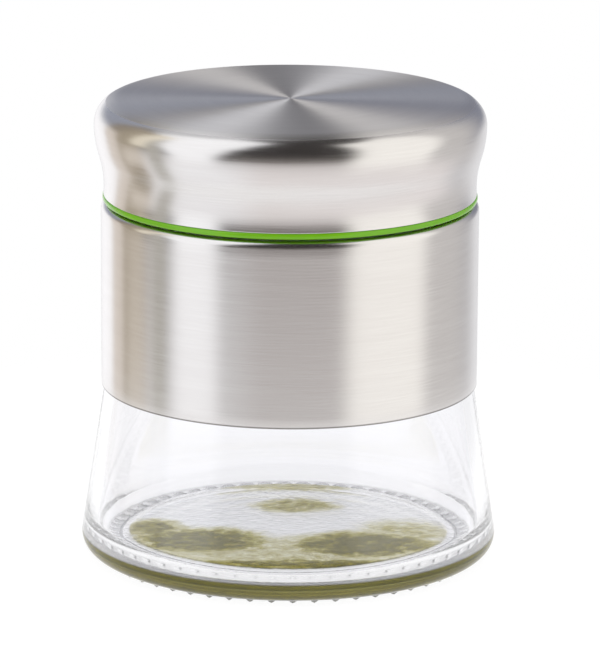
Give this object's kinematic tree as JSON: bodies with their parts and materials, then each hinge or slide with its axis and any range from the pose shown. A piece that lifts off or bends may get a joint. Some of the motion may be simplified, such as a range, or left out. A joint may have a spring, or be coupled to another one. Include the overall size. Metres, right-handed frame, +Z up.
{
  "type": "spice jar",
  "caption": "Flared glass spice jar in a brushed steel sleeve, with a steel-covered screw lid that shows a green plastic ring at its foot",
  "frame": {"origin": "centre of the ring that the jar stands on, in the plane of the surface it stands on", "axes": "+Z up along the axis that every piece is turned about; X and Y are any two square directions"},
  "size_m": [0.0764, 0.0764, 0.0849],
  "materials": {
    "glass": "clear, glossy, faintly green in the thick foot",
    "steel": "brushed round the axis",
    "green_plastic": "glossy",
    "silicone": "matte",
    "adhesive": "matte"
  },
  "bodies": {
    "jar": {"glass_jar": "glass", "steel_sleeve": "steel", "sleeve_bond_lower": "adhesive", "sleeve_bond_upper": "adhesive"},
    "seal": {"seal_ring": "silicone"},
    "lid": {"lid_insert": "green_plastic", "lid_bond": "adhesive", "lid_shell": "steel"}
  },
  "joints": [
    {"name": "lid_lift", "type": "slide", "parent": "jar", "child": "seal", "axis": [0, 0, 1], "range_m": [0, 0.0168]},
    {"name": "lid_turn", "type": "hinge", "parent": "seal", "child": "lid", "pos_m": [0, 0, 0], "axis": [0, 0, 1], "range_deg": [0, 1440]}
  ],
  "couplings": [
    {"joint": "lid_lift", "follows": "lid_turn", "m_per_rad": 0.00066845}
  ]
}
